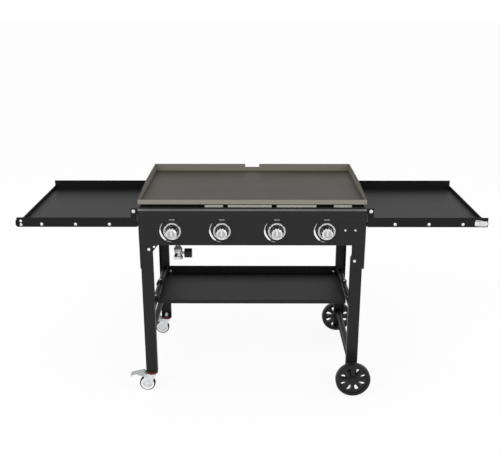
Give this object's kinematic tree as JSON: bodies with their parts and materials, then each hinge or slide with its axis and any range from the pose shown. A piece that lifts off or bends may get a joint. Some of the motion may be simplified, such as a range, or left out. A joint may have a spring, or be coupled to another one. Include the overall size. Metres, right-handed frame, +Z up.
{
  "type": "outdoor gas griddle station",
  "caption": "Flat-top gas griddle on folding legs, with side trays that fold over the plate, a bottom shelf, casters at the left and large wheels at the right.",
  "frame": {"origin": "on the floor, under the middle of the whole object", "axes": "+X to the right of a cook at the controls, +Y to the rear, +Z up"},
  "size_m": [1.86, 0.6646, 0.861],
  "materials": {
    "powder_black": "satin powder coat",
    "tray_black": "glossy enamel",
    "handle_black": "satin powder coat",
    "plate_steel": "seasoned satin",
    "firebox_steel": "heat-resistant matte",
    "plain_steel": "bare satin",
    "zinc": "bright zinc plating",
    "pedal_steel": "dull zinc plating",
    "knob_chrome": "polished",
    "brass": "satin",
    "cast_alloy": "cast satin",
    "cup_alloy": "drawn satin",
    "wheel_black": "moulded satin",
    "tyre": "matte",
    "core_pale": "moulded",
    "cover_red": "moulded",
    "saddle_black": "moulded"
  },
  "bodies": {
    "body": {"control_panel": "powder_black", "left_side_panel": "powder_black", "right_side_panel": "powder_black", "back_panel": "powder_black", "front_leg_brackets": "powder_black", "rear_leg_brackets": "powder_black", "firebox": "firebox_steel", "wind_guard": "plain_steel", "burners": "plain_steel", "gas_manifold": "plain_steel", "gas_valves": "brass", "regulator_body": "cast_alloy", "knob_bezels": "knob_chrome", "blank_plate": "powder_black", "body_screws": "zinc", "left_handle": "handle_black", "right_handle": "handle_black", "tray_hinge_brackets": "powder_black", "tray_pivot_bolts": "zinc", "leg_pivot_bolts": "zinc"},
    "regulator_hand_wheel": {"regulator_wheel": "wheel_black"},
    "plate": {"griddle_plate": "plate_steel"},
    "cup": {"grease_cup": "cup_alloy"},
    "left_side_tray": {"left_tray": "tray_black", "left_tray_screws": "zinc", "latch_keeper": "tray_black"},
    "right_side_tray": {"right_tray": "tray_black", "right_tray_screws": "zinc", "latch_base": "zinc"},
    "lever": {"latch_lever": "zinc"},
    "loop": {"latch_loop": "zinc"},
    "left_frame": {"left_legs": "powder_black", "left_cross_tubes": "powder_black", "caster_stems": "zinc", "caster_covers": "cover_red"},
    "front_caster": {"front_caster_fork": "zinc"},
    "rear_caster": {"rear_caster_fork": "zinc"},
    "front_roller": {"front_caster_tyre": "tyre", "front_caster_core": "core_pale"},
    "rear_roller": {"rear_caster_tyre": "tyre", "rear_caster_core": "core_pale"},
    "front_pedal": {"front_brake_pedal": "pedal_steel"},
    "rear_pedal": {"rear_brake_pedal": "pedal_steel"},
    "right_frame": {"right_legs": "powder_black", "right_cross_tubes": "powder_black", "wheel_axle": "powder_black"},
    "front_large_wheel": {"front_wheel": "wheel_black"},
    "rear_large_wheel": {"rear_wheel": "wheel_black"},
    "saddles": {"shelf_saddles": "saddle_black"},
    "shelf": {"bottom_shelf": "powder_black", "shelf_screws": "zinc"},
    "spindle_1": {"spindle_1": "zinc"},
    "knob_1": {"knob_1": "knob_chrome"},
    "spindle_2": {"spindle_2": "zinc"},
    "knob_2": {"knob_2": "knob_chrome"},
    "spindle_3": {"spindle_3": "zinc"},
    "knob_3": {"knob_3": "knob_chrome"},
    "spindle_4": {"spindle_4": "zinc"},
    "knob_4": {"knob_4": "knob_chrome"}
  },
  "joints": [
    {"name": "regulator_turn", "type": "hinge", "parent": "body", "child": "regulator_hand_wheel", "pos_m": [-0.303, -0.222, 0.603], "axis": [1, 0, 0], "continuous": true},
    {"name": "knob_1_turn", "type": "hinge", "parent": "body", "child": "spindle_1", "pos_m": [-0.3165, -0.2915, 0.7187], "axis": [0, -1, 0], "range_deg": [0, 180]},
    {"name": "knob_1_push", "type": "slide", "parent": "spindle_1", "child": "knob_1", "axis": [0, 1, 0], "range_m": [0, 0.004], "stiffness_N_per_m": 800, "springref_m": -0.003},
    {"name": "knob_2_turn", "type": "hinge", "parent": "body", "child": "spindle_2", "pos_m": [-0.1195, -0.2915, 0.7187], "axis": [0, -1, 0], "range_deg": [0, 180]},
    {"name": "knob_2_push", "type": "slide", "parent": "spindle_2", "child": "knob_2", "axis": [0, 1, 0], "range_m": [0, 0.004], "stiffness_N_per_m": 800, "springref_m": -0.003},
    {"name": "knob_3_turn", "type": "hinge", "parent": "body", "child": "spindle_3", "pos_m": [0.0975, -0.2915, 0.7187], "axis": [0, -1, 0], "range_deg": [0, 180]},
    {"name": "knob_3_push", "type": "slide", "parent": "spindle_3", "child": "knob_3", "axis": [0, 1, 0], "range_m": [0, 0.004], "stiffness_N_per_m": 800, "springref_m": -0.003},
    {"name": "knob_4_turn", "type": "hinge", "parent": "body", "child": "spindle_4", "pos_m": [0.2945, -0.2915, 0.7187], "axis": [0, -1, 0], "range_deg": [0, 180]},
    {"name": "knob_4_push", "type": "slide", "parent": "spindle_4", "child": "knob_4", "axis": [0, 1, 0], "range_m": [0, 0.004], "stiffness_N_per_m": 800, "springref_m": -0.003},
    {"name": "plate_lift", "type": "slide", "parent": "body", "child": "plate", "axis": [0, 0, -1], "range_m": [-0.06, 0]},
    {"name": "cup_slide", "type": "slide", "parent": "body", "child": "cup", "axis": [0, 1, 0], "range_m": [0, 0.07]},
    {"name": "left_tray_fold", "type": "hinge", "parent": "body", "child": "left_side_tray", "pos_m": [-0.465, 0, 0.8035], "axis": [0, 1, 0], "range_deg": [0, 180]},
    {"name": "right_tray_fold", "type": "hinge", "parent": "body", "child": "right_side_tray", "pos_m": [0.465, 0, 0.8035], "axis": [0, -1, 0], "range_deg": [0, 180]},
    {"name": "latch_open", "type": "hinge", "parent": "right_side_tray", "child": "lever", "pos_m": [0.898, -0.3005, 0.755], "axis": [0, 0, 1], "range_deg": [0, 100]},
    {"name": "loop_swing", "type": "hinge", "parent": "lever", "child": "loop", "pos_m": [0.893, -0.30455, 0.755], "axis": [0, 0, 1], "range_deg": [-100, 0]},
    {"name": "left_legs_fold", "type": "hinge", "parent": "body", "child": "left_frame", "pos_m": [-0.412, 0, 0.643], "axis": [0, -1, 0], "range_deg": [0, 90]},
    {"name": "right_legs_fold", "type": "hinge", "parent": "body", "child": "right_frame", "pos_m": [0.41, 0, 0.594], "axis": [0, 1, 0], "range_deg": [0, 90]},
    {"name": "shelf_lift", "type": "slide", "parent": "left_frame", "child": "saddles", "axis": [0, 0, 1], "range_m": [0, 0.306]},
    {"name": "shelf_level", "type": "hinge", "parent": "saddles", "child": "shelf", "pos_m": [-0.4235, 0, 0.3375], "axis": [0, -1, 0], "range_deg": [-90, 0]},
    {"name": "front_caster_swivel", "type": "hinge", "parent": "left_frame", "child": "front_caster", "pos_m": [-0.4235, -0.274, 0.0812], "axis": [0, 0, 1], "continuous": true},
    {"name": "front_caster_roll", "type": "hinge", "parent": "front_caster", "child": "front_roller", "pos_m": [-0.4455, -0.274, 0.033], "axis": [0, 1, 0], "continuous": true},
    {"name": "front_brake", "type": "hinge", "parent": "front_caster", "child": "front_pedal", "pos_m": [-0.4525, -0.274, 0.0737], "axis": [0, 1, 0], "range_deg": [0, 20]},
    {"name": "front_wheel_roll", "type": "hinge", "parent": "right_frame", "child": "front_large_wheel", "pos_m": [0.4235, -0.314, 0.073], "axis": [0, 1, 0], "continuous": true},
    {"name": "rear_caster_swivel", "type": "hinge", "parent": "left_frame", "child": "rear_caster", "pos_m": [-0.4235, 0.274, 0.0812], "axis": [0, 0, 1], "continuous": true},
    {"name": "rear_caster_roll", "type": "hinge", "parent": "rear_caster", "child": "rear_roller", "pos_m": [-0.4455, 0.274, 0.033], "axis": [0, 1, 0], "continuous": true},
    {"name": "rear_brake", "type": "hinge", "parent": "rear_caster", "child": "rear_pedal", "pos_m": [-0.4525, 0.274, 0.0737], "axis": [0, 1, 0], "range_deg": [0, 20]},
    {"name": "rear_wheel_roll", "type": "hinge", "parent": "right_frame", "child": "rear_large_wheel", "pos_m": [0.4235, 0.314, 0.073], "axis": [0, 1, 0], "continuous": true}
  ],
  "couplings": [
    {"joint": "loop_swing", "follows": "latch_open", "ratio": -1},
    {"joint": "shelf_lift", "follows": "right_legs_fold", "m_per_rad": 0.1948},
    {"joint": "shelf_level", "follows": "left_legs_fold", "ratio": -1}
  ]
}
